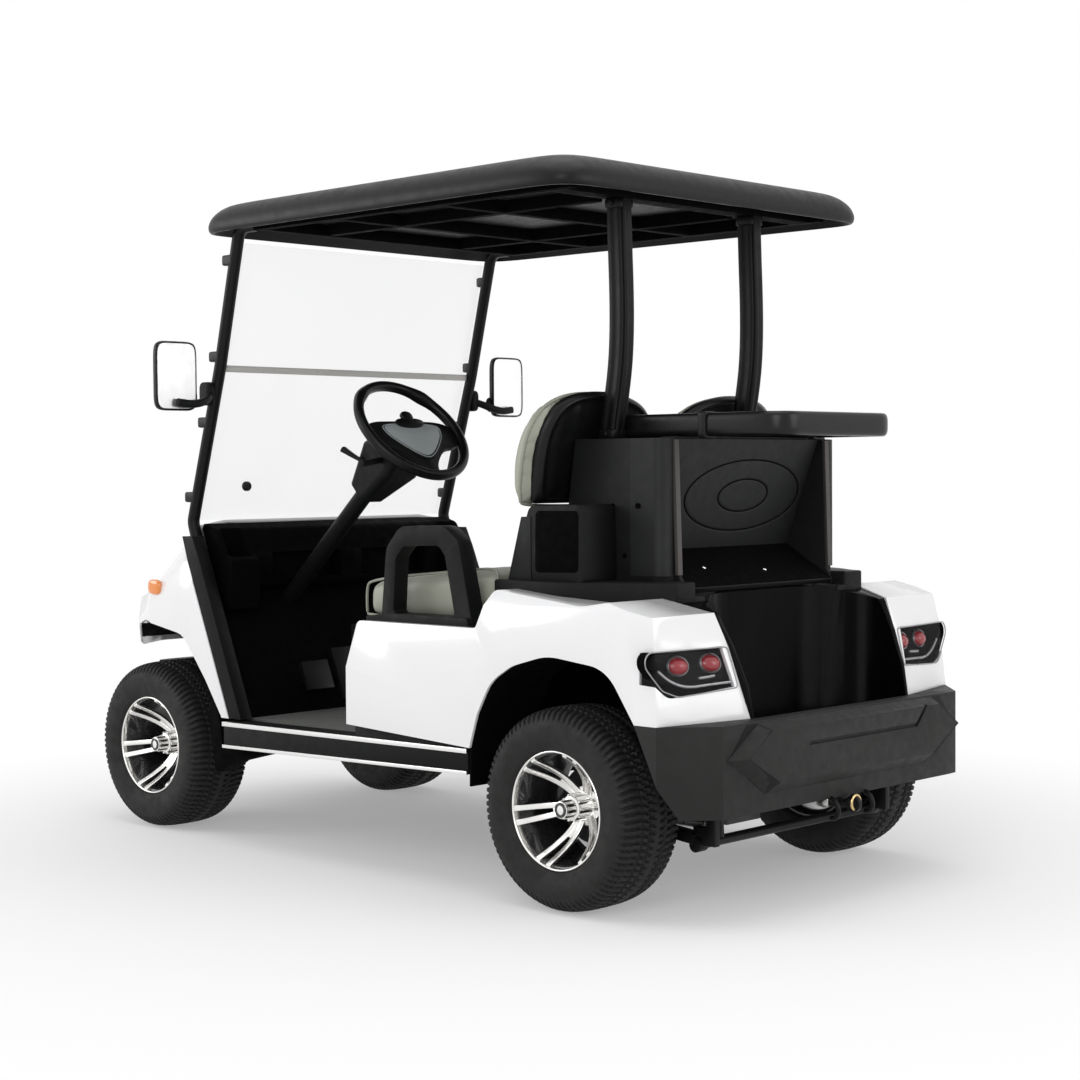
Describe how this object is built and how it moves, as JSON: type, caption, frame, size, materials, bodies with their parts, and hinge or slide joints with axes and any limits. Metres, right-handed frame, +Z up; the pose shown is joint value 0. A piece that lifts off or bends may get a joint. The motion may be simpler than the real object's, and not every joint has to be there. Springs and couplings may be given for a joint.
{
  "type": "golf cart",
  "caption": "Golf cart with bench seat, canopy on posts and struts, folding windshield, bag well with rack, steered front wheels, spinning road wheels and hinged seat.",
  "frame": {"origin": "on the ground, midway between the nose and the rear bumper, on the centre plane", "axes": "+X forwards, +Y to the driver's left, +Z up"},
  "size_m": [2.43, 1.45, 1.7749],
  "materials": {
    "black_metal": "satin",
    "cast_steel": "rough",
    "black_plastic": "fine texture",
    "mat_rubber": "ribbed",
    "bright_trim": "brushed",
    "battery_plastic": "plain",
    "seat_vinyl": "grained",
    "white_panel": "gloss",
    "red_lamp": "clear over red",
    "clear_lamp": "clear",
    "clear_pane": "clear",
    "mirror_glass": "polished",
    "alloy": "machined",
    "tyre": "matt"
  },
  "bodies": {
    "vehicle": {"chassis_frame": "black_metal", "front_axle": "black_metal", "rear_axle": "cast_steel", "rear_suspension": "black_metal", "floor_pan": "black_plastic", "floor_mat": "mat_rubber", "rocker_panels": "black_plastic", "rocker_trims": "bright_trim", "seat_base": "black_plastic", "battery_pack": "battery_plastic", "seat_back_cushions": "seat_vinyl", "seat_back_shells": "black_plastic", "armrests": "black_plastic", "quarter_panels": "white_panel", "tail_lamps": "red_lamp", "rear_bumper": "black_plastic", "bag_well": "black_plastic", "rear_deck": "black_plastic", "rear_housing": "black_plastic", "bag_basket": "black_plastic", "bag_rack": "black_plastic", "wheel_liners": "black_plastic", "front_cowl": "white_panel", "head_lamps": "clear_lamp", "front_bumper": "black_plastic", "dashboard": "black_plastic", "pillar_trims": "black_plastic", "front_posts": "black_metal", "windshield": "clear_pane", "windshield_fittings": "black_plastic", "mirrors": "mirror_glass", "roof": "black_plastic", "roof_frame": "black_metal", "rear_struts": "black_metal", "steering_column": "black_plastic", "pedals": "black_metal"},
    "steering_wheel": {"steering_wheel": "black_plastic"},
    "knuckle_left": {"knuckle_left": "cast_steel"},
    "knuckle_right": {"knuckle_right": "cast_steel"},
    "tie_rod": {"tie_rod": "black_metal"},
    "seat": {"seat_lid": "black_plastic", "seat_cushion": "seat_vinyl"},
    "wheel_front_left": {"rim_front_left": "alloy", "tyre_front_left": "tyre"},
    "wheel_front_right": {"rim_front_right": "alloy", "tyre_front_right": "tyre"},
    "wheel_rear_left": {"rim_rear_left": "alloy", "tyre_rear_left": "tyre"},
    "wheel_rear_right": {"rim_rear_right": "alloy", "tyre_rear_right": "tyre"}
  },
  "joints": [
    {"name": "steering", "type": "hinge", "parent": "vehicle", "child": "steering_wheel", "pos_m": [0.1, 0.22, 1.141], "axis": [-0.7443, 0, 0.6678], "range_deg": [-450, 450]},
    {"name": "steer_left", "type": "hinge", "parent": "vehicle", "child": "knuckle_left", "pos_m": [0.905, 0.345, 0.24], "axis": [0, 0, 1], "range_deg": [-28.5, 28.5]},
    {"name": "steer_right", "type": "hinge", "parent": "vehicle", "child": "knuckle_right", "pos_m": [0.905, -0.345, 0.24], "axis": [0, 0, 1], "range_deg": [-28.5, 28.5]},
    {"name": "tie_rod_slide", "type": "slide", "parent": "vehicle", "child": "tie_rod", "axis": [0, -1, 0], "range_m": [-0.0435, 0.0435]},
    {"name": "seat_hinge", "type": "hinge", "parent": "vehicle", "child": "seat", "pos_m": [-0.02, 0, 0.645], "axis": [0, 1, 0], "range_deg": [0, 55]},
    {"name": "front_left_spin", "type": "hinge", "parent": "knuckle_left", "child": "wheel_front_left", "pos_m": [0.905, 0.433, 0.24], "axis": [0, 1, 0], "continuous": true},
    {"name": "front_right_spin", "type": "hinge", "parent": "knuckle_right", "child": "wheel_front_right", "pos_m": [0.905, -0.433, 0.24], "axis": [0, 1, 0], "continuous": true},
    {"name": "rear_left_spin", "type": "hinge", "parent": "vehicle", "child": "wheel_rear_left", "pos_m": [-0.765, 0.491, 0.24], "axis": [0, 1, 0], "continuous": true},
    {"name": "rear_right_spin", "type": "hinge", "parent": "vehicle", "child": "wheel_rear_right", "pos_m": [-0.765, -0.491, 0.24], "axis": [0, 1, 0], "continuous": true}
  ],
  "couplings": [
    {"joint": "steer_left", "follows": "steering", "ratio": 0.062222},
    {"joint": "steer_right", "follows": "steering", "ratio": 0.062222},
    {"joint": "tie_rod_slide", "follows": "steering", "m_per_rad": 0.00538}
  ]
}
